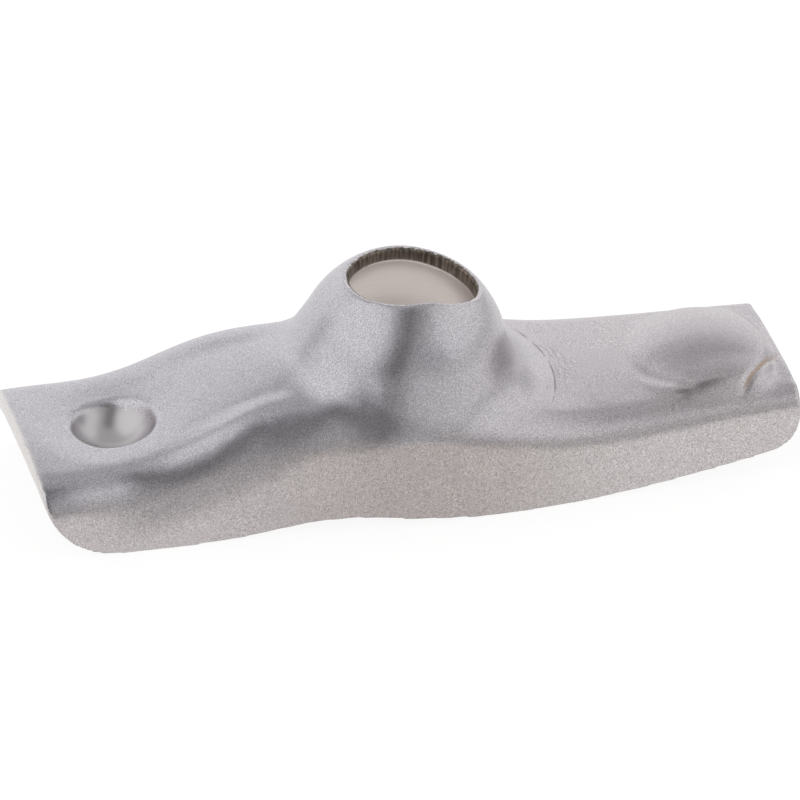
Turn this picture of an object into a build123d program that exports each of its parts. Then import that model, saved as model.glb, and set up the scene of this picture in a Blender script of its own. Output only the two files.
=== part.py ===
from build123d import *

import os
from itertools import accumulate, pairwise
from math import acos, asin, atan2, cos, degrees, hypot, pi, radians, sin, sqrt, tan

# Pressed-steel rocker arm of the ball-pivot kind, one stamping, lying on the edges of its two flanges
# with its pivot dome up. +X runs from the pushrod end to the valve end, and Y = 0 is its plane of symmetry.
# The origin lies on the surface it rests on, under the centre of the pivot ball. Millimetres and degrees.

# Sheet and ends
sheet = 1.8
pushrod_reach = 34.4
valve_reach = 34.4

# Pivot dome, a spherical seat for a half ball, with a skirt down to the flanges and a slot for the stud
seat_radius = 8.0
seat_height = 11.0
dome_wall = 1.35
dome_flare = 6.5
seat_flare = 5.5
skirt_drop = 3.0
skirt_inset = 0.35
slot_width = 9.0
slot_length = 11.2
slot_offset = 0.7
slot_lip_radius = 0.35

# Channel: web heights along the arm
pushrod_web = 6.8
shoulder_web = 12.0
valve_web = 7.75
web_crown = 0.25

# Channel: half widths over the flanges
pushrod_half_width = 10.1
waist_half_width = 9.9
pivot_half_width = 10.9
valve_half_width = 8.4

# Channel: where the web steps up to the shoulder, and where it comes down again past the dome
step_start = 26.8
step_end = 9.5
fall_start = 6.0
fall_end = 16.5

# Channel: outer bends, widest beside the dome, and the lean of the flanges
pushrod_bend_radius = 4.0
bend_radius = 3.4
shoulder_bend_radius = 6.2
pivot_bend_radius = 4.2
fall_bend_radius = 3.2
valve_bend_radius = 2.2
flange_draft = 2.0

# Flange edges: a straight heel, an arch under the pivot, and a long rise to the valve end
heel_from_pivot = 20.5
arch_from_pivot = 8.0
arch_rise = 1.0
toe_from_pivot = 9.0
valve_edge_rise = 2.6
pushrod_corner = 7.0
valve_corner = 3.2

# Pushrod cup
cup_from_end = 8.4
cup_ball_radius = 4.0
cup_mouth_radius = 3.6
cup_wall = 1.4
cup_lip_radius = 0.8

# Valve pad
pad_from_end = 6.3
pad_radius = 10.2
pad_height = 2.1
pad_root = 0.6
pad_blend = 2.0

cup_x = cup_from_end - pushrod_reach
pad_x = valve_reach - pad_from_end

# Forming solids: how far they run past the trimmed edges, and how finely they are drawn
overrun = 4.0
bend_points = 6
section_count = 20


def ease(x, start, end):
    """Smooth step from 0 to 1 between two places along the arm."""
    share = min(max((x - start) / (end - start), 0), 1)
    return share * share * (3 - 2 * share)


def web_at(x):
    step = (shoulder_web - pushrod_web) * ease(x, -step_start, -step_end)
    fall = (shoulder_web - valve_web) * ease(x, -fall_start, fall_end)
    return pushrod_web + step - fall


def half_width_at(x):
    waist = (pushrod_half_width - waist_half_width) * ease(x, -step_start, -step_end)
    swell = (pivot_half_width - waist_half_width) * ease(x, -step_end, 0)
    taper = (pivot_half_width - valve_half_width) * ease(x, 0, valve_reach + overrun)
    return pushrod_half_width - waist + swell - taper


def bend_at(x):
    """Outer bend radius along the arm, eased from each named place to the next."""
    places = [
        (-pushrod_reach, pushrod_bend_radius),
        (-step_start, bend_radius),
        (-heel_from_pivot, bend_radius),
        (-arch_from_pivot, shoulder_bend_radius),
        (0, pivot_bend_radius),
        (fall_end, fall_bend_radius),
        (valve_reach, valve_bend_radius),
    ]
    steps = [(after - before) * ease(x, start, end) for (start, before), (end, after) in pairwise(places)]
    return pushrod_bend_radius + sum(steps)


def section(x, inset):
    """Points of one cross section, from below one flange edge over the web to below the other."""
    top = web_at(x) - inset
    side = half_width_at(x) - inset
    radius = bend_at(x) - inset
    lean = radians(flange_draft)
    bend_z = top - radius
    half = [(side + tan(lean) * (bend_z - z), z) for z in (-overrun, (bend_z - overrun) / 2)]
    for step in range(bend_points + 1):
        turn = lean + (pi / 2 - lean) * step / bend_points
        half.append((side - radius + radius * cos(turn), bend_z + radius * sin(turn)))
    flat = side - radius
    half += [(flat * share, top + web_crown * (1 - share**2)) for share in (2 / 3, 1 / 3)]
    outline = [(-y, z) for y, z in half] + [(0, top + web_crown)] + [(y, z) for y, z in reversed(half)]
    return [Vector(x, y, z) for y, z in outline]


def channel(inset):
    """The arm without its pad, cup and dome: a loft through even sections with like spacing."""
    start = -pushrod_reach - overrun
    pitch = (valve_reach + overrun - start) / (section_count - 1)
    sections = [section(start + pitch * i, inset) for i in range(section_count)]
    middle = sections[section_count // 2]
    runs = [0, *accumulate((b - a).length for a, b in pairwise(middle))]
    shares = [run / runs[-1] for run in runs]
    outlines = [Edge.make_spline(points, parameters=shares) for points in sections]
    return Solid.make_loft([Wire([edge, Edge.make_line(edge @ 1, edge @ 0)]) for edge in outlines])


def ball(radius, x, z):
    return Solid.make_sphere(radius, Plane((x, 0, z)), -90, 90, 360)


def bell(radius):
    """The outside of the dome: a ball with a skirt that runs down from it to just inside the flanges."""
    foot_radius = pivot_half_width - skirt_inset
    foot_z = web_at(0) - skirt_drop
    drop = seat_height - foot_z
    lean = acos(radius / hypot(foot_radius, drop)) - atan2(drop, foot_radius)
    crown = (0, seat_height + radius)
    waist = (radius * cos(lean), seat_height + radius * sin(lean))
    with BuildPart() as dome:
        with BuildSketch(Plane.XZ):
            with BuildLine():
                TangentArc(crown, waist, tangent=(1, 0))
                Polyline(waist, (foot_radius, foot_z), (0, foot_z), crown)
            make_face()
        revolve(axis=Axis.Z)
    return dome.part


def pad(inset):
    """The shallow round-topped cap that the valve stem bears on."""
    radius = pad_radius - inset
    centre_z = valve_web + pad_height - pad_radius
    root_z = valve_web - inset - pad_root
    latitude = degrees(asin((root_z - centre_z) / radius))
    return Solid.make_sphere(radius, Plane((pad_x, 0, centre_z)), latitude, 90, 360)


def ring(solid, x):
    """The closed edge that runs round the raised or sunk feature at x."""
    rings = [e for e in solid.edges() if e.is_closed and e.geom_type == GeomType.BSPLINE]
    return min(rings, key=lambda e: abs(e.center(CenterOf.BOUNDING_BOX).X - x))


def form(inset, dome, flare, cup_radius):
    """One face of the pressing as a filled solid: the channel with its pad, cup and flared dome."""
    padded = channel(inset).fuse(pad(inset)).solids()[0]
    padded = padded.fillet(pad_blend, [ring(padded, pad_x)])
    cup_z = pushrod_web + web_crown + sqrt(cup_ball_radius**2 - cup_mouth_radius**2)
    cupped = padded.cut(ball(cup_radius, cup_x, cup_z)).solids()[0]
    cupped = cupped.fillet(cup_lip_radius, [ring(cupped, cup_x)])
    domed = cupped.fuse(dome).solids()[0]
    return domed.fillet(flare, [ring(domed, 0)])


def blank():
    """Side view of the trimmed sheet, as a block across the arm."""
    top = seat_height + seat_radius + dome_wall + overrun
    pushrod_foot = (-pushrod_reach, 0)
    heel = (-heel_from_pivot, 0)
    toe = (toe_from_pivot, 0)
    valve_foot = (valve_reach, valve_edge_rise)
    with BuildPart() as block:
        with BuildSketch(Plane.XZ) as side:
            with BuildLine():
                Polyline(valve_foot, (valve_reach, top), (-pushrod_reach, top), pushrod_foot, heel)
                Spline(heel, (-arch_from_pivot, arch_rise), toe, tangents=[(1, 0), (1, 0)])
                TangentArc(toe, valve_foot, tangent=(1, 0))
            make_face()
            fillet(side.vertices().sort_by_distance(pushrod_foot)[0], pushrod_corner)
            fillet(side.vertices().sort_by_distance(valve_foot)[0], valve_corner)
        extrude(amount=pivot_half_width + overrun, both=True)
    return block.part


def stud_slot():
    with BuildPart() as cutter:
        with BuildSketch(Plane((slot_offset, 0, seat_height))):
            SlotOverall(slot_length, slot_width)
        extrude(amount=seat_radius + dome_wall + overrun)
    return cutter.part


def on_slot_lip(edge):
    """Whether an edge lies where the slot's wall meets the outside of the dome."""
    middle = edge @ 0.5
    margin = dome_wall / 10
    off_dome = abs((middle - Vector(0, 0, seat_height)).length - seat_radius - dome_wall)
    from_slot = hypot(middle.X - slot_offset, middle.Y)
    return off_dome < margin and from_slot < slot_length / 2 + margin


def rocker_arm():
    outside = form(0, bell(seat_radius + dome_wall), dome_flare, cup_ball_radius)
    inside = form(sheet, ball(seat_radius, 0, seat_height), seat_flare, cup_ball_radius + cup_wall)
    slotted = (outside - stud_slot()).solids()[0]
    lipped = slotted.fillet(slot_lip_radius, slotted.edges().filter_by(on_slot_lip))
    return ((lipped & blank()) - inside).solids()[0]


os.makedirs("parts", exist_ok=True)
export_step(rocker_arm(), "parts/rocker_arm.step")
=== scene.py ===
from math import cos, pi, radians, sin

import bmesh
import bpy
import numpy as np
from mathutils import Matrix, Vector


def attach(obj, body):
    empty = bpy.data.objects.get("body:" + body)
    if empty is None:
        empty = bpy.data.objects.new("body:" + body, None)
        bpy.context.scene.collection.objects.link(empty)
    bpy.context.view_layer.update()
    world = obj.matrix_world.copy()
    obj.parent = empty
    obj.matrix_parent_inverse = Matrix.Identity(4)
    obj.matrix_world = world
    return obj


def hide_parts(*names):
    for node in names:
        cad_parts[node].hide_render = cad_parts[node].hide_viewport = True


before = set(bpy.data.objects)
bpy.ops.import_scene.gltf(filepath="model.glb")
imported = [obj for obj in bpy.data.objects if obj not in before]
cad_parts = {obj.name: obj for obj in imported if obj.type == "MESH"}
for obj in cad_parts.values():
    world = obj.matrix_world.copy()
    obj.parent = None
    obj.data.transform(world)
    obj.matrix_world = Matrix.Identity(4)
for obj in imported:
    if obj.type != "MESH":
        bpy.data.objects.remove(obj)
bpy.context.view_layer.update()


# The arm: one stamping in mild steel sheet, cut, drawn and folded in a press, then tumbled.
# Its skin is drawn again as an even mesh, so that edges come out softly rounded, as tumbling leaves them.
MM = 0.001
MERGE_DISTANCE = 0.002 * MM
SKIN_STEP = 0.26 * MM
RELAX_SHARE = 0.5
RELAX_ROUNDS = 3

scene = bpy.context.scene
arm_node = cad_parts["rocker_arm"]
arm = bpy.data.objects.new("pressed_arm", arm_node.data.copy())
scene.collection.objects.link(arm)
skin = bmesh.new()
skin.from_mesh(arm.data)
bmesh.ops.remove_doubles(skin, verts=skin.verts, dist=MERGE_DISTANCE)
skin.to_mesh(arm.data)
skin.free()
even = arm.modifiers.new("even_skin", "REMESH")
even.mode = "VOXEL"
even.voxel_size = SKIN_STEP
even.use_smooth_shade = True
wrap = arm.modifiers.new("onto_form", "SHRINKWRAP")
wrap.target = arm_node
wrap.wrap_method = "NEAREST_SURFACEPOINT"
relax = arm.modifiers.new("relax", "SMOOTH")
relax.factor = RELAX_SHARE
relax.iterations = RELAX_ROUNDS
bpy.context.view_layer.update()
drawn = arm.evaluated_get(bpy.context.evaluated_depsgraph_get())
arm_mesh = bpy.data.meshes.new_from_object(drawn)
arm.modifiers.clear()
arm.data = arm_mesh
arm.data.materials.clear()

# The press has left its marks in the form: the web sags beside the dome and round the cup, the near fold leans
# in at the pushrod end, and the valve pad is wider at its foot, with the web filled beside it. In millimetres;
# each pair is the place where a mark sets in or fades and the place where it has done so.
STEP_UP = (-26.8, -9.5)
FALL_AWAY = (-6, 16.5)
WEB_LOW = 6.8
WEB_RISE = 5.2
SAG = 0.7
SAG_FROM_PIVOT = (8.7, 10.5)
SAG_FADES_ACROSS = (4.2, 8.9)
SAG_ABOVE = 3
CUP_X = -26.0
CUP_SAG = 0.3
CUP_SAG_FADES = (3.2, 7.5)
LEAN = 1.0
LEAN_SETS_IN = (-33, -25)
LEAN_FADES = (-15, -8)
LEAN_ACROSS = (2, 7)
LEAN_FADES_DOWN = (1, 7)
PAD_X = 28.1
PAD_ABOVE = 5
SPREAD = 1.1
SPREAD_SETS_IN = (0, 6)
SPREAD_FADES = (6, 9.5)
SPREAD_FADES_ACROSS = (5, 8)
SPREAD_FADES_AT_END = (31, 34)
FILL = 0.55
FILL_SETS_IN = (20.5, 25)
FILL_FADES = (30, 33.5)
FILL_ACROSS = (2.5, 5.8)
FILL_FADES_ACROSS = (5.8, 8)
FACING_UP = 0.3


def ease(value, start, end):
    """Smooth step from 0 to 1 between two places."""
    share = np.clip((value - start) / (end - start), 0, 1)
    return share * share * (3 - 2 * share)


points = np.empty(len(arm.data.vertices) * 3)
arm.data.vertices.foreach_get("co", points)
points = points.reshape(-1, 3) / MM
normals = np.empty(len(arm.data.vertices) * 3)
arm.data.vertices.foreach_get("normal", normals)
outside = normals.reshape(-1, 3)[:, 2] > FACING_UP
x, y, z = points.T.copy()
from_pivot = np.hypot(x, y)
sag = SAG * (ease(x, *STEP_UP) - ease(x, *FALL_AWAY))
sag *= (1 - ease(np.abs(y), *SAG_FADES_ACROSS)) * ease(from_pivot, *SAG_FROM_PIVOT)
sag += CUP_SAG * (1 - ease(np.hypot(x - CUP_X, y), *CUP_SAG_FADES))
below_web = WEB_LOW + WEB_RISE * ease(x, *STEP_UP) - z
lean = LEAN * ease(-y, *LEAN_ACROSS) * (1 - ease(below_web, *LEAN_FADES_DOWN))
lean *= ease(x, *LEAN_SETS_IN) * (1 - ease(x, *LEAN_FADES))
from_pad = np.hypot(x - PAD_X, y)
on_top = z > PAD_ABOVE
spread = SPREAD * on_top * ease(from_pad, *SPREAD_SETS_IN) * (1 - ease(from_pad, *SPREAD_FADES))
spread *= (1 - ease(np.abs(y), *SPREAD_FADES_ACROSS)) * (1 - ease(x, *SPREAD_FADES_AT_END))
fill = FILL * on_top * ease(-y, *FILL_ACROSS) * (1 - ease(-y, *FILL_FADES_ACROSS))
fill *= ease(x, *FILL_SETS_IN) * (1 - ease(x, *FILL_FADES))
points[:, 0] += spread * (x - PAD_X) / from_pad
points[:, 1] += spread * y / from_pad + lean
points[:, 2] += fill - sag * (z > SAG_ABOVE)
x, y, z = points.T.copy()

# The drawing ring has bitten a groove round the flare on the valve side, and two creases run along the foot
# of the valve pad: one beside the near fold and one out to the corner of the web.
RING_RADIUS = 13.65
RING_DEPTH = 0.07
RING_HALF_WIDTH = 0.35
RING_SETS_IN = (11.2, 12.4)
RING_FADES_ACROSS = (4.5, 7.5)
FOOT_Y = -6.7
FOOT_DEPTH = 0.05
FOOT_SETS_IN = (21, 24)
FOOT_FADES = (29, 30.5)
CREASE_ACROSS = (0.742, -0.67)
CREASE_ALONG = (0.67, 0.742)
CREASE_OFFSET = 26.65
CREASE_DEPTH = 0.12
CREASE_HALF_WIDTH = 0.5
CREASE_SETS_IN = (13.5, 15)
CREASE_FADES = (18, 22)
CREASE_ABOVE = 6

ring = RING_DEPTH * (1 - ease(np.abs(from_pivot - RING_RADIUS), 0, RING_HALF_WIDTH))
ring *= ease(x, *RING_SETS_IN) * (1 - ease(np.abs(y), *RING_FADES_ACROSS))
foot = FOOT_DEPTH * (1 - ease(np.abs(y - FOOT_Y), 0, CREASE_HALF_WIDTH))
foot *= ease(x, *FOOT_SETS_IN) * (1 - ease(x, *FOOT_FADES))
off_crease = np.abs(CREASE_ACROSS[0] * x + CREASE_ACROSS[1] * y - CREASE_OFFSET)
up_crease = CREASE_ALONG[0] * x + CREASE_ALONG[1] * y
crease = CREASE_DEPTH * (z > CREASE_ABOVE) * (1 - ease(off_crease, 0, CREASE_HALF_WIDTH))
crease *= ease(up_crease, *CREASE_SETS_IN) * (1 - ease(up_crease, *CREASE_FADES))
points[:, 2] -= (ring + foot + crease) * outside
arm.data.vertices.foreach_set("co", points.ravel() * MM)
arm.data.update()


# The skin: mild steel, pressed and tumbled. That gives a satin grey metal with a fine sparkling grain and a
# random mottle on the flanges. Painted reflection: upward faces are painted a cool tone and the upright
# flanges a warmer one, for what each reflects; painted shade: the flanges are painted darker towards the
# pivot. Sizes are in millimetres, and the grain is drawn coarser than it is, to show.
GRAIN = 0.1
MOTTLE = 0.3
DENT = 2.4
PATCH = 6
NOISE_ROUGHNESS = 0.6
CONTRAST = (0.3, 0.7)
UPRIGHT = (0.7, 0.2)
PAINTED_TINT_BELOW = (9.5, 7.5)
PAINTED_SHADE_DEEPENS = (-22, -2)
PAINTED_SHADE_LIFTS = (0, 22)
WEB_TINT_WARMS = (-10, 24)
SKIN_ROUGHNESS = 0.28


def linear(hex_colour):
    """An sRGB hex colour as linear RGBA."""
    channels = [int(hex_colour[i:i + 2], 16) / 255 for i in (1, 3, 5)]
    return (*[c / 12.92 if c <= 0.04045 else ((c + 0.055) / 1.055) ** 2.4 for c in channels], 1.0)


def add_node(tree, kind, inputs=(), **settings):
    """A node with its settings, and its inputs set or linked."""
    node = tree.nodes.new(kind)
    for name, value in settings.items():
        setattr(node, name, value)
    for key, value in dict(inputs).items():
        if isinstance(value, bpy.types.NodeSocket):
            tree.links.new(value, node.inputs[key])
        else:
            node.inputs[key].default_value = value
    return node


def within(tree, *limits):
    """A share that is 1 inside all limits, each a value, where it sets in and where it is full."""
    share = None
    for value, start, full in limits:
        step = add_node(tree, "ShaderNodeMapRange", {"Value": value, "From Min": start, "From Max": full},
                        interpolation_type="SMOOTHSTEP").outputs["Result"]
        if share is None:
            share = step
        else:
            share = add_node(tree, "ShaderNodeMath", {0: share, 1: step}, operation="MULTIPLY").outputs[0]
    return share


steel = bpy.data.materials.new("tumbled_pressed_steel")
steel.use_nodes = True
tree = steel.node_tree
tree.nodes.clear()
metres = add_node(tree, "ShaderNodeTexCoord").outputs["Object"]
place = add_node(tree, "ShaderNodeVectorMath", {0: metres, "Scale": 1 / MM}, operation="SCALE").outputs[0]
along, across, height = add_node(tree, "ShaderNodeSeparateXYZ", {0: place}).outputs
grain, mottle, dents, patches = [
    add_node(tree, "ShaderNodeTexNoise", {
        "Vector": place, "Scale": 1 / size, "Detail": detail, "Roughness": NOISE_ROUGHNESS,
    }).outputs["Fac"]
    for size, detail in ((GRAIN, 3), (MOTTLE, 4), (DENT, 2), (PATCH, 4))
]
pale = add_node(tree, "ShaderNodeMix", {"Factor": patches, "A": linear("#DDDADF"), "B": linear("#EBE7E8")},
                data_type="RGBA").outputs["Result"]
tone = add_node(tree, "ShaderNodeMix", {
    "Factor": within(tree, (grain, *CONTRAST)), "A": linear("#A6A4AA"), "B": pale,
}, data_type="RGBA").outputs["Result"]
# Painted shade: the flanges' tone darkens from the pushrod end towards the pivot, then lightens towards the
# valve end.
flange_mottle_and_painted_shade = add_node(tree, "ShaderNodeMix", {
    "Factor": within(tree, (along, *PAINTED_SHADE_DEEPENS)), "A": linear("#FBF7F4"), "B": linear("#E5DFD9"),
}, data_type="RGBA").outputs["Result"]
flange_mottle_and_painted_shade = add_node(tree, "ShaderNodeMix", {
    "Factor": within(tree, (along, *PAINTED_SHADE_LIFTS)), "A": flange_mottle_and_painted_shade, "B": linear("#FFFCF8"),
}, data_type="RGBA").outputs["Result"]
darker = add_node(tree, "ShaderNodeMix", {"Factor": 1.0, "A": flange_mottle_and_painted_shade, "B": linear("#EFEDEB")},
                  data_type="RGBA", blend_type="MULTIPLY").outputs["Result"]
flange_mottle_and_painted_shade = add_node(tree, "ShaderNodeMix", {"Factor": within(tree, (mottle, *CONTRAST)), "A": darker, "B": flange_mottle_and_painted_shade},
                data_type="RGBA").outputs["Result"]
# Painted reflection: the web's cool tint, warming a little towards the valve end.
painted_web_tint = add_node(tree, "ShaderNodeMix", {
    "Factor": within(tree, (along, *WEB_TINT_WARMS)), "A": linear("#EDEDEF"), "B": linear("#F0EDEC"),
}, data_type="RGBA").outputs["Result"]
normal = add_node(tree, "ShaderNodeNewGeometry").outputs["Normal"]
facing = add_node(tree, "ShaderNodeSeparateXYZ", {0: normal}).outputs["Z"]
# Painted reflection: upright faces low down take the warmer flange tone, upward faces the cool web tone.
painted_reflection_tint = add_node(tree, "ShaderNodeMix", {
    "Factor": within(tree, (facing, *UPRIGHT), (height, *PAINTED_TINT_BELOW)), "A": painted_web_tint, "B": flange_mottle_and_painted_shade,
}, data_type="RGBA").outputs["Result"]
tone = add_node(tree, "ShaderNodeMix", {"Factor": 1.0, "A": tone, "B": painted_reflection_tint},
                data_type="RGBA", blend_type="MULTIPLY").outputs["Result"]

# Wear on the skin: the valve stem has dulled a patch on the pad, and the sheared pushrod end is lighter.
# Painted shade: the drawing ring's groove is painted dark along its line, and the metal beyond it is rippled,
# with painted shade on the ripples' crests.
PAD_TOP = (PAD_X, -1, 9.8)
WORN_REACH = (6.5, 1.5)
SHEARED_END = (-33.8, -34.3)
RING_LINE = (0.12, 0.02)
RING_ABOVE = (7.2, 7.6)
RING_BREAKS = (0.3, 0.55)
WANDER = 1.3
RIPPLE = 0.5
RIPPLE_STRAY = 16
RIPPLE_CREST = (0.2, 1.0)
RIPPLE_SETS_IN = (0.15, 0.4)
RIPPLE_FADES = (2.4, 0.9)
RIPPLE_FADES_ACROSS = (4, 2)


def straying_lines(tree, distance, pitch, stray, wander):
    """Lines at an even pitch that stray a little: 1 along their crests and -1 between them."""
    strayed = add_node(tree, "ShaderNodeMath", {0: wander, 1: stray}, operation="MULTIPLY").outputs[0]
    phase = add_node(tree, "ShaderNodeMath", {0: distance, 1: 2 * pi / pitch, 2: strayed},
                     operation="MULTIPLY_ADD").outputs[0]
    return add_node(tree, "ShaderNodeMath", {0: phase}, operation="SINE").outputs[0]


from_pad_top = add_node(tree, "ShaderNodeVectorMath", {0: place, 1: PAD_TOP},
                        operation="DISTANCE").outputs["Value"]
worn = within(tree, (from_pad_top, *WORN_REACH))
sheared_end = within(tree, (along, *SHEARED_END))
wander = add_node(tree, "ShaderNodeTexNoise", {
    "Vector": place, "Scale": 1 / WANDER, "Detail": 2.0, "Roughness": NOISE_ROUGHNESS,
}).outputs["Fac"]
flat_place = add_node(tree, "ShaderNodeVectorMath", {0: place, 1: (1, 1, 0)}, operation="MULTIPLY").outputs[0]
round_pivot = add_node(tree, "ShaderNodeVectorMath", {0: flat_place}, operation="LENGTH").outputs["Value"]
beyond = add_node(tree, "ShaderNodeMath", {0: round_pivot, 1: RING_RADIUS}, operation="SUBTRACT").outputs[0]
off_ring = add_node(tree, "ShaderNodeMath", {0: beyond}, operation="ABSOLUTE").outputs[0]
beside = add_node(tree, "ShaderNodeMath", {0: across}, operation="ABSOLUTE").outputs[0]
on_web = ((along, *RING_SETS_IN), (height, *RING_ABOVE))
# Painted shade: a dark line, broken here and there, along the drawing ring's groove.
shaded_ring_groove = within(tree, *on_web, (off_ring, *RING_LINE), (beside, *reversed(RING_FADES_ACROSS)),
                   (wander, *RING_BREAKS))
# Painted shade on the crests of the ripples beyond the ring.
shaded_ripples = within(tree, *on_web, (straying_lines(tree, beyond, RIPPLE, RIPPLE_STRAY, wander), *RIPPLE_CREST),
                 (beyond, *RIPPLE_SETS_IN), (beyond, *RIPPLE_FADES), (beside, *RIPPLE_FADES_ACROSS))

# The die has dragged slanting strokes on the near flange, below the valve side of the dome.
# Rust has settled in the crease between the valve pad and the corner of the web.
STROKE = 0.42
STROKE_SLANT = 0.3
STROKE_STRAY = 14
STROKE_CREST = (0.1, 1.0)
STROKE_BREAKS = (0.45, 0.6)
STROKES_SET_IN = (0.5, 3)
STROKES_FADE = (11, 8)
STROKES_ABOVE = (4.2, 5.2)
STROKES_BELOW = (7.8, 6.8)
NEAR_FLANGE = (-9, -9.6)
RUST_LINE = (0.28, 0.06)
RUST_SETS_IN = (14.2, 15)
RUST_BREAKS = (0.2, 0.5)
RUST_ABOVE = (6, 7)
RUST_DULLS = 0.6

slant = add_node(tree, "ShaderNodeMath", {0: height, 1: -STROKE_SLANT, 2: along},
                 operation="MULTIPLY_ADD").outputs[0]
strokes = within(tree, (straying_lines(tree, slant, STROKE, STROKE_STRAY, wander), *STROKE_CREST),
                 (wander, *STROKE_BREAKS), (along, *STROKES_SET_IN), (along, *STROKES_FADE),
                 (height, *STROKES_ABOVE), (height, *STROKES_BELOW), (across, *NEAR_FLANGE))
across_crease, along_crease = [
    add_node(tree, "ShaderNodeVectorMath", {0: place, 1: (*direction, 0)},
             operation="DOT_PRODUCT").outputs["Value"]
    for direction in (CREASE_ACROSS, CREASE_ALONG)
]
from_crease = add_node(tree, "ShaderNodeMath", {0: across_crease, 1: CREASE_OFFSET},
                       operation="SUBTRACT").outputs[0]
from_crease = add_node(tree, "ShaderNodeMath", {0: from_crease}, operation="ABSOLUTE").outputs[0]
rust = within(tree, (from_crease, *RUST_LINE), (along_crease, *RUST_SETS_IN),
              (along_crease, *reversed(CREASE_FADES)), (wander, *RUST_BREAKS), (height, *RUST_ABOVE))

# The marks and the painted shade are laid over the tumbled tone, each with its strength and colour.
# Their relief, and that of the grain and of the dents from tumbling, is in millimetres.
laid_over = (
    (worn, 0.35, "#A5A0A5"),
    (sheared_end, 0.5, "#F0ECE6"),
    # Painted shade: the ring's groove and the ripples' crests beyond it.
    (shaded_ring_groove, 0.7, "#77716E"),
    (shaded_ripples, 0.25, "#77716E"),
    (strokes, 0.25, "#E4DCD4"),
    (rust, 0.75, "#A58B74"),
)
for share, strength, colour in laid_over:
    weight = add_node(tree, "ShaderNodeMath", {0: share, 1: strength}, operation="MULTIPLY").outputs[0]
    tone = add_node(tree, "ShaderNodeMix", {"Factor": weight, "A": tone, "B": linear(colour)},
                    data_type="RGBA").outputs["Result"]
relief = 0.0
for share, rise in ((grain, 0.012), (dents, 0.04), (shaded_ring_groove, -0.03), (shaded_ripples, -0.02), (strokes, 0.008)):
    relief = add_node(tree, "ShaderNodeMath", {0: share, 1: rise, 2: relief},
                      operation="MULTIPLY_ADD").outputs[0]
skin_bump = add_node(tree, "ShaderNodeBump", {"Height": relief, "Strength": 1.0, "Distance": MM})
metal = add_node(tree, "ShaderNodeMath", {0: rust, 1: -RUST_DULLS, 2: 1.0},
                 operation="MULTIPLY_ADD").outputs[0]
surface = add_node(tree, "ShaderNodeBsdfPrincipled", {
    "Base Color": tone, "Metallic": metal, "Roughness": SKIN_ROUGHNESS, "Normal": skin_bump.outputs["Normal"],
})
add_node(tree, "ShaderNodeOutputMaterial", {"Surface": surface.outputs["BSDF"]})
arm.data.materials.append(steel)

# The slot's wall: steel sheared through by the punch, which leaves it brownish and scored the way it went.
# The seat's tone sets in below the wall and the skin's pale lip above it, with a ragged burr on the far side.
SEAT_HEIGHT = 11.0
SCORE = 0.3
SCORE_STRETCH = (1, 1, 0.1)
SCORE_DEPTH = 0.12
SCORE_CONTRAST = (0.35, 0.65)
WALL_FOOT = (8.05, 8.15)
WALL_TOP = (9.1, 9.22)
BURR = 0.35
BURR_HEIGHT = 0.5
BURR_SIDE = (0, 3)
SHEARED_ROUGHNESS = 0.4

sheared = bpy.data.materials.new("sheared_steel")
sheared.use_nodes = True
tree = sheared.node_tree
tree.nodes.clear()
metres = add_node(tree, "ShaderNodeTexCoord").outputs["Object"]
place = add_node(tree, "ShaderNodeVectorMath", {0: metres, "Scale": 1 / MM}, operation="SCALE").outputs[0]
across = add_node(tree, "ShaderNodeSeparateXYZ", {0: place}).outputs["Y"]
drawn_out = add_node(tree, "ShaderNodeVectorMath", {0: place, 1: SCORE_STRETCH},
                     operation="MULTIPLY").outputs[0]
scores, ragged = [
    add_node(tree, "ShaderNodeTexNoise", {
        "Vector": vector, "Scale": 1 / size, "Detail": 2.0, "Roughness": NOISE_ROUGHNESS,
    }).outputs["Fac"]
    for vector, size in ((drawn_out, SCORE), (place, BURR))
]
score_bump = add_node(tree, "ShaderNodeBump", {
    "Height": scores, "Strength": 1.0, "Distance": SCORE_DEPTH * MM,
})
from_ball = add_node(tree, "ShaderNodeVectorMath", {0: place, 1: (0, 0, SEAT_HEIGHT)},
                     operation="DISTANCE").outputs["Value"]
wall = add_node(tree, "ShaderNodeMix", {
    "Factor": within(tree, (scores, *SCORE_CONTRAST)), "A": linear("#5A524B"), "B": linear("#857B72"),
}, data_type="RGBA").outputs["Result"]
wall = add_node(tree, "ShaderNodeMix", {
    "Factor": within(tree, (from_ball, *WALL_FOOT)), "A": linear("#D1C7C3"), "B": wall,
}, data_type="RGBA").outputs["Result"]
burr = add_node(tree, "ShaderNodeMath", {0: ragged, 1: BURR_HEIGHT, 2: -BURR_HEIGHT / 2},
                operation="MULTIPLY_ADD").outputs[0]
burred = add_node(tree, "ShaderNodeMath", {0: burr, 1: within(tree, (across, *BURR_SIDE)), 2: from_ball},
                  operation="MULTIPLY_ADD").outputs[0]
wall = add_node(tree, "ShaderNodeMix", {
    "Factor": within(tree, (burred, *WALL_TOP)), "A": wall, "B": linear("#D9D6D8"),
}, data_type="RGBA").outputs["Result"]
surface = add_node(tree, "ShaderNodeBsdfPrincipled", {
    "Base Color": wall, "Metallic": 1.0, "Roughness": SHEARED_ROUGHNESS,
    "Normal": score_bump.outputs["Normal"],
})
add_node(tree, "ShaderNodeOutputMaterial", {"Surface": surface.outputs["BSDF"]})
arm.data.materials.append(sheared)

# The seat: the inside of the dome, steel burnished by the pivot ball that turns in it.
# That leaves it a warm grey, without the grain of the skin and with faint rings round it.
SEAT_RING = 0.2
SEAT_RING_STRETCH = (0.05, 0.05, 1)
SEAT_ROUGHNESS = 0.36

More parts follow.
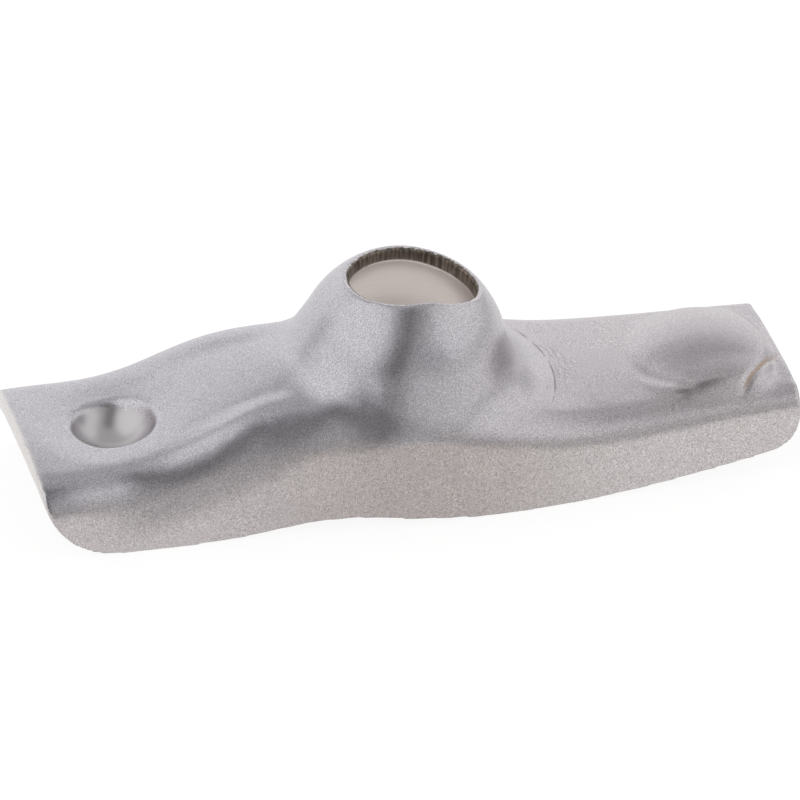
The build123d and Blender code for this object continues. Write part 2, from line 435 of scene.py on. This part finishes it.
seat = bpy.data.materials.new("burnished_seat_steel")
seat.use_nodes = True
tree = seat.node_tree
tree.nodes.clear()
metres = add_node(tree, "ShaderNodeTexCoord").outputs["Object"]
place = add_node(tree, "ShaderNodeVectorMath", {0: metres, "Scale": 1 / MM}, operation="SCALE").outputs[0]
flattened = add_node(tree, "ShaderNodeVectorMath", {0: place, 1: SEAT_RING_STRETCH},
                     operation="MULTIPLY").outputs[0]
rings = add_node(tree, "ShaderNodeTexNoise", {
    "Vector": flattened, "Scale": 1 / SEAT_RING, "Detail": 2.0, "Roughness": NOISE_ROUGHNESS,
}).outputs["Fac"]
burnish = add_node(tree, "ShaderNodeMix", {"Factor": rings, "A": linear("#CBC1BC"), "B": linear("#D6CDC9")},
                   data_type="RGBA").outputs["Result"]
surface = add_node(tree, "ShaderNodeBsdfPrincipled", {
    "Base Color": burnish, "Metallic": 1.0, "Roughness": SEAT_ROUGHNESS,
})
add_node(tree, "ShaderNodeOutputMaterial", {"Surface": surface.outputs["BSDF"]})
arm.data.materials.append(seat)

# The pushrod cup: a round recess struck in the web, steel polished by the pushrod's ball end.
# That leaves an even grey, without the grain of the skin.
CUP_ROUGHNESS = 0.33

cup = bpy.data.materials.new("polished_cup_steel")
cup.use_nodes = True
surface = cup.node_tree.nodes["Principled BSDF"]
surface.inputs["Base Color"].default_value = linear("#BDBABC")
surface.inputs["Metallic"].default_value = 1.0
surface.inputs["Roughness"].default_value = CUP_ROUGHNESS
arm.data.materials.append(cup)

# Where each finish lies: the slot's wall, the seat and the cup are found by their distance from the slot, the
# pivot ball and the pushrod's ball, in millimetres, and all other faces keep the tumbled skin.
SLOT_MIDDLE = 0.7
SLOT_HALF_STRAIGHT = 1.1
SLOT_RADIUS = 4.5
SLOT_MARGIN = 0.36
SLOT_ABOVE = 15
SEAT_RADIUS = 8.0
SEAT_INNER_MARGIN = 0.1
SEAT_OUTER_MARGIN = 0.6
SEAT_HALF_WIDTH = 8.6
SEAT_ABOVE = 9
CUP_CENTRE = (CUP_X, 0, 8.49)
CUP_RADIUS = 4.0
CUP_MARGIN = 0.08
CUP_BELOW = 6.4
SHEARED, SEAT_FINISH, CUP_FINISH = 1, 2, 3

faces = arm.data.polygons
centres = np.empty(len(faces) * 3)
faces.foreach_get("center", centres)
centres = centres.reshape(-1, 3) / MM
x, y, z = centres.T
past_straight = np.maximum(np.abs(x - SLOT_MIDDLE) - SLOT_HALF_STRAIGHT, 0)
from_slot = np.abs(np.hypot(past_straight, y) - SLOT_RADIUS)
from_seat = np.sqrt(x**2 + y**2 + (z - SEAT_HEIGHT) ** 2)
from_cup = np.linalg.norm(centres - CUP_CENTRE, axis=1)
slot_wall = (from_slot < SLOT_MARGIN) & (z > SLOT_ABOVE) & (from_seat > SEAT_RADIUS - SEAT_INNER_MARGIN)
on_seat = (from_seat < SEAT_RADIUS + SEAT_OUTER_MARGIN) & (np.abs(y) < SEAT_HALF_WIDTH) & (z > SEAT_ABOVE)
in_cup = (from_cup < CUP_RADIUS + CUP_MARGIN) & (z < CUP_BELOW)
finishes = np.zeros(len(faces), dtype=np.int32)
finishes[on_seat] = SEAT_FINISH
finishes[slot_wall] = SHEARED
finishes[in_cup] = CUP_FINISH
faces.foreach_set("material_index", finishes)
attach(arm, "root")
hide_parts("rocker_arm")


# The table: a plain sheet of white card under the arm, matt, which keeps its soft shadow.
# It glows to the camera and in the metal, so that it looks white, and is clear from below.
TABLE_HALF = 2.0
GLOW_SHARE = 0.8
GLOW = 1.1

table_mesh = bmesh.new()
bmesh.ops.create_grid(table_mesh, x_segments=1, y_segments=1, size=TABLE_HALF)
table = bpy.data.objects.new("table", bpy.data.meshes.new("table"))
table_mesh.to_mesh(table.data)
table_mesh.free()
scene.collection.objects.link(table)
card = bpy.data.materials.new("white_card")
card.use_nodes = True
tree = card.node_tree
tree.nodes.clear()
ray = add_node(tree, "ShaderNodeLightPath").outputs
seen = ray["Is Camera Ray"]
for kind in ("Is Glossy Ray", "Is Transmission Ray"):
    seen = add_node(tree, "ShaderNodeMath", {0: seen, 1: ray[kind]}, operation="MAXIMUM").outputs[0]
glowing = add_node(tree, "ShaderNodeMath", {0: seen, 1: GLOW_SHARE}, operation="MULTIPLY").outputs[0]
matt = add_node(tree, "ShaderNodeBsdfDiffuse", {"Color": linear("#F2F1F0")}).outputs[0]
glow = add_node(tree, "ShaderNodeEmission", {"Color": linear("#FFFFFF"), "Strength": GLOW}).outputs[0]
lit = add_node(tree, "ShaderNodeMixShader", {0: glowing, 1: matt, 2: glow}).outputs[0]
below = add_node(tree, "ShaderNodeNewGeometry").outputs["Backfacing"]
clear = add_node(tree, "ShaderNodeBsdfTransparent").outputs[0]
surface = add_node(tree, "ShaderNodeMixShader", {0: below, 1: lit, 2: clear})
add_node(tree, "ShaderNodeOutputMaterial", {"Surface": surface.outputs[0]})
table.data.materials.append(card)


# The studio: a pale grey room with soft lamps to the left, behind and to the right, sizes in metres.
# A strip of grey felt lies in front of the arm, rises behind the camera and leans over it, so that rounded
# metal shows a dark line. The camera sees it only in the metal.
ROOM_LIGHT = 0.6
AIM = Vector((0, 0, 8 * MM))
LAMP_DISTANCE = 1.5
STRIP_RADIUS = 1.5
STRIP_WIDTH = 0.6
STRIP_AZIMUTH = -11
STRIP_LEAN = 0.4
STRIP_PIVOT = 1.2
STRIP_TOP = 85
STRIP_STEPS = 24
STRIP_NEAR = 95 * MM
STRIP_TIP = 40 * MM
STRIP_LIFT = 0.5 * MM

scene.view_settings.view_transform = "Standard"
room = bpy.data.worlds.new("pale_room")
room.use_nodes = True
scene.world = room
room.node_tree.nodes["Background"].inputs["Color"].default_value = linear("#FFFFFF")
room.node_tree.nodes["Background"].inputs["Strength"].default_value = ROOM_LIGHT


def soft_lamp(name, azimuth, elevation, width, height, watts):
    """A rectangular lamp that faces the arm, with azimuth 0 in front of it."""
    a, e = radians(azimuth), radians(elevation)
    data = bpy.data.lights.new(name, "AREA")
    data.shape = "RECTANGLE"
    data.size = width
    data.size_y = height
    data.energy = watts
    lamp = bpy.data.objects.new(name, data)
    lamp.location = AIM + LAMP_DISTANCE * Vector((sin(a) * cos(e), -cos(a) * cos(e), sin(e)))
    lamp.rotation_euler = (AIM - lamp.location).to_track_quat("-Z", "Y").to_euler()
    scene.collection.objects.link(lamp)


soft_lamp("left_lamp", azimuth=-82, elevation=42, width=2.4, height=2.2, watts=9.0)
soft_lamp("back_lamp", azimuth=180, elevation=19, width=3.4, height=1.25, watts=7.1)
soft_lamp("right_lamp", azimuth=80, elevation=34, width=2.5, height=1.4, watts=5.0)

strip_mesh = bmesh.new()
ends = [strip_mesh.verts.new((side * STRIP_WIDTH / 2, -STRIP_RADIUS, 0)) for side in (-1, 1)]
near = [strip_mesh.verts.new((side * STRIP_TIP / 2, -STRIP_NEAR, 0)) for side in (1, -1)]
strip_mesh.faces.new([*ends, *near])
edge = strip_mesh.edges.get(ends)
bmesh.ops.spin(strip_mesh, geom=[*ends, edge], cent=(0, 0, 0), axis=(1, 0, 0), angle=radians(-STRIP_TOP),
               steps=STRIP_STEPS, use_merge=False)
band = [vert for vert in strip_mesh.verts if vert not in near]
bmesh.ops.transform(strip_mesh, matrix=Matrix((
    (1, 0, STRIP_LEAN, -STRIP_LEAN * STRIP_PIVOT),
    (0, 1, 0, 0),
    (0, 0, 1, 0),
    (0, 0, 0, 1),
)), verts=band)
bmesh.ops.translate(strip_mesh, vec=(0, 0, STRIP_LIFT), verts=strip_mesh.verts)
bmesh.ops.rotate(strip_mesh, cent=(0, 0, 0), matrix=Matrix.Rotation(radians(STRIP_AZIMUTH), 3, "Z"),
                 verts=strip_mesh.verts)
strip = bpy.data.objects.new("dark_strip", bpy.data.meshes.new("dark_strip"))
strip_mesh.to_mesh(strip.data)
strip_mesh.free()
scene.collection.objects.link(strip)
felt = bpy.data.materials.new("grey_felt")
felt.use_nodes = True
felt.node_tree.nodes["Principled BSDF"].inputs["Base Color"].default_value = linear("#6E6E6E")
felt.node_tree.nodes["Principled BSDF"].inputs["Roughness"].default_value = 1.0
strip.data.materials.append(felt)
strip.visible_camera = False


# The camera: a long lens from the front, a little to the left and above, tipped a few degrees.
# It is placed so that the middle of the pivot ball falls on its own pixel of the picture.
CAMERA_AZIMUTH = -17
CAMERA_ELEVATION = 32
CAMERA_TIP = 3
CAMERA_DISTANCE = 0.9
SENSOR_WIDTH = 36
IMAGE_WIDTH = 800
PIXELS_PER_MM = 11.44
SEAT_PIXEL = (401, 352)

a, e, tip = radians(CAMERA_AZIMUTH), radians(CAMERA_ELEVATION), radians(CAMERA_TIP)
back = Vector((sin(a) * cos(e), -cos(a) * cos(e), sin(e)))
level = Vector((cos(a), sin(a), 0))
rise = back.cross(level)
right = level * cos(tip) + rise * sin(tip)
up = rise * cos(tip) - level * sin(tip)
pixel = MM / PIXELS_PER_MM
pixels_right = SEAT_PIXEL[0] - IMAGE_WIDTH / 2
pixels_down = SEAT_PIXEL[1] - IMAGE_WIDTH / 2
middle = Vector((0, 0, SEAT_HEIGHT * MM)) - right * pixels_right * pixel + up * pixels_down * pixel
eye = middle + back * CAMERA_DISTANCE
lens = bpy.data.cameras.new("camera")
lens.sensor_width = SENSOR_WIDTH
lens.lens = PIXELS_PER_MM / MM * CAMERA_DISTANCE * SENSOR_WIDTH / IMAGE_WIDTH
camera = bpy.data.objects.new("camera", lens)
camera.matrix_world = Matrix((
    (right.x, up.x, back.x, eye.x),
    (right.y, up.y, back.y, eye.y),
    (right.z, up.z, back.z, eye.z),
    (0, 0, 0, 1),
))
scene.collection.objects.link(camera)
scene.camera = camera
